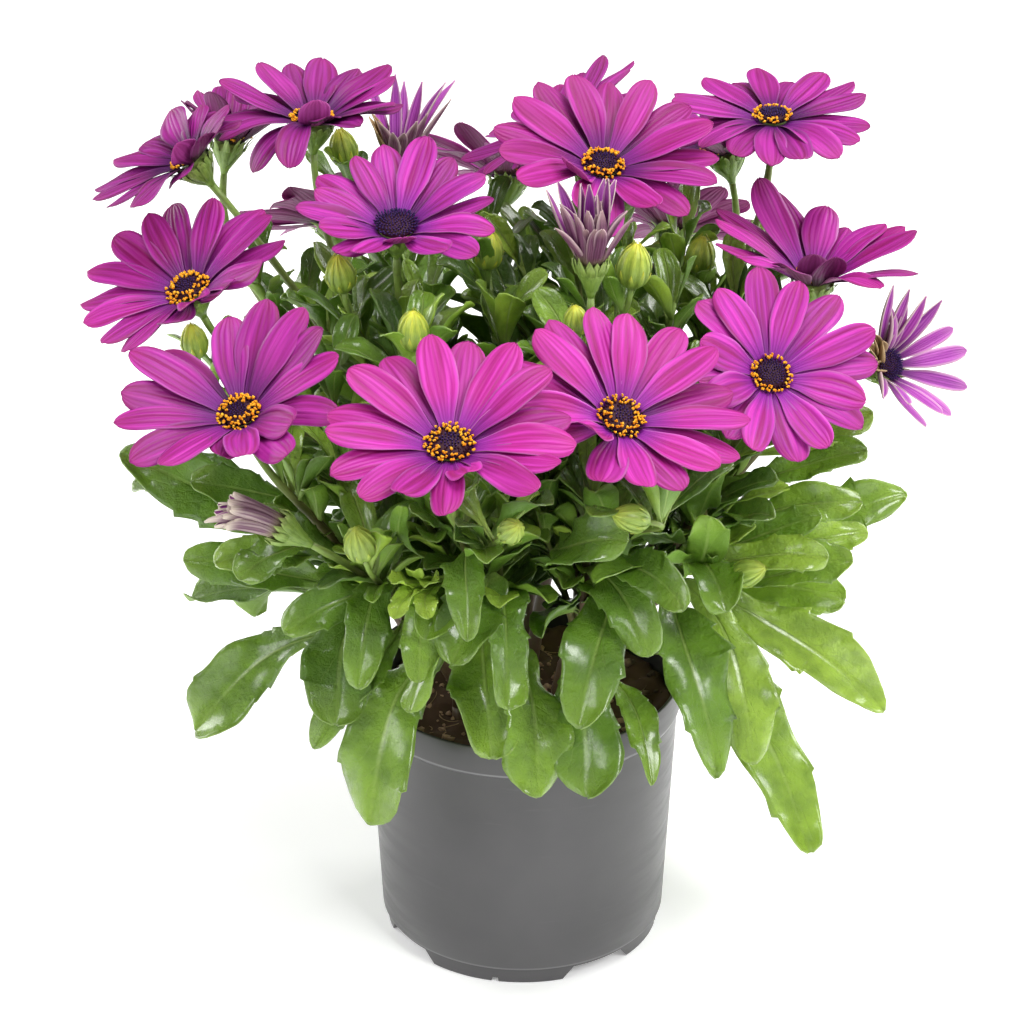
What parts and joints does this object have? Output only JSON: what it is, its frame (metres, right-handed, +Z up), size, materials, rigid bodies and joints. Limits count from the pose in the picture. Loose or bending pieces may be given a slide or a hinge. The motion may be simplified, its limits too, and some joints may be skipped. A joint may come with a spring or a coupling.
{
  "type": "osteospermum in a nursery pot",
  "caption": "Bushy African daisy with open and half-open purple flowers, buds and toothed leaves, rooted in peat in a round footed plastic nursery pot.",
  "frame": {"origin": "centre of the pot's underside, at floor level", "axes": "+Z up along the pot's axis; -Y toward the front, the side the open flowers face; +X to the right seen from the front"},
  "size_m": [0.3341, 0.3368, 0.3344],
  "materials": {
    "pot_plastic": "satin grey moulded plastic, darker inside the rim",
    "peat": "loose reddish brown peat with fibres",
    "leaf_and_stem": "glossy fleshy leaves with pale midribs, on green to purplish stalks",
    "petals": "silky magenta purple with fine darker lengthwise veins",
    "disc_florets": "dark violet florets with an orange-yellow ring of anthers"
  },
  "bodies": {
    "root": {"pot": "pot_plastic", "soil": "peat", "branch_front": "leaf_and_stem", "branch_front_right": "leaf_and_stem", "branch_right": "leaf_and_stem", "branch_right_back": "leaf_and_stem", "branch_back_right": "leaf_and_stem", "branch_back": "leaf_and_stem", "branch_back_left": "leaf_and_stem", "branch_left": "leaf_and_stem", "branch_front_left": "leaf_and_stem", "b01_rays": "petals", "b01_disc": "disc_florets", "b02_rays": "petals", "b02_disc": "disc_florets", "b03_rays": "petals", "b03_disc": "disc_florets", "b04_rays": "petals", "b04_disc": "disc_florets", "b05_rays": "petals", "b05_disc": "disc_florets", "b06_rays": "petals", "b06_disc": "disc_florets", "b07_rays": "petals", "b07_disc": "disc_florets", "b08_rays": "petals", "b08_disc": "disc_florets", "b09_rays": "petals", "b09_disc": "disc_florets", "b10_rays": "petals", "b10_disc": "disc_florets", "b11_rays": "petals", "b11_disc": "disc_florets", "b12_rays": "petals", "b12_disc": "disc_florets", "b13_rays": "petals", "b13_disc": "disc_florets", "b14_rays": "petals", "b14_disc": "disc_florets", "b15_rays": "petals", "b15_disc": "disc_florets", "b16_rays": "petals", "b16_disc": "disc_florets", "b17_rays": "petals", "b17_disc": "disc_florets", "b18_rays": "petals", "b19_rays": "petals", "b19_disc": "disc_florets", "b20_rays": "petals", "b20_disc": "disc_florets", "b21_rays": "petals", "b21_disc": "disc_florets"}
  },
  "joints": []
}
